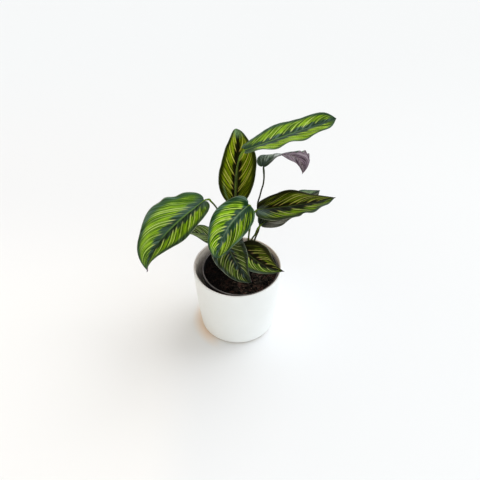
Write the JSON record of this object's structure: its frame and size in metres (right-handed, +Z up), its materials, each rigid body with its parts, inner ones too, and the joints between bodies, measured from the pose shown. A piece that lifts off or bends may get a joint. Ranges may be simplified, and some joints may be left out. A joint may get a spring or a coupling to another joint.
{
  "type": "potted plant",
  "caption": "Pinstripe calathea with feather-patterned leaves on slim stalks, in a black plastic grow pot inside a white tapered ceramic cover pot.",
  "frame": {"origin": "middle of the flat base of the cover pot", "axes": "+Z up, -Y towards the front of the plant, +X to its right"},
  "size_m": [0.2896, 0.1751, 0.36],
  "materials": {
    "glazed_white": "smooth satin white glaze",
    "nursery_plastic": "dull black moulded plastic",
    "potting_mix": "moist dark peat with brown fibres",
    "leaf_bright": "satin leaf, lime brush bands on dark green, purple underside",
    "leaf_olive": "satin leaf, olive bands on brown-green, purple underside",
    "leaf_dark": "satin leaf, narrow green bands on dark blue-green, purple underside",
    "leaf_muted": "matt leaf, grey-green bands, purple underside",
    "leaf_curled": "satin leaf, dark green above and dull purple below"
  },
  "bodies": {
    "root": {"cover_pot": "glazed_white", "grow_pot": "nursery_plastic", "potting_soil": "potting_mix", "leaf_left": "leaf_bright", "leaf_upright": "leaf_olive", "leaf_top": "leaf_bright", "leaf_curled": "leaf_curled", "leaf_right": "leaf_olive", "leaf_right_behind": "leaf_dark", "leaf_centre": "leaf_bright", "leaf_low_centre": "leaf_dark", "leaf_low_right": "leaf_olive", "leaf_low_left": "leaf_muted"}
  },
  "joints": []
}
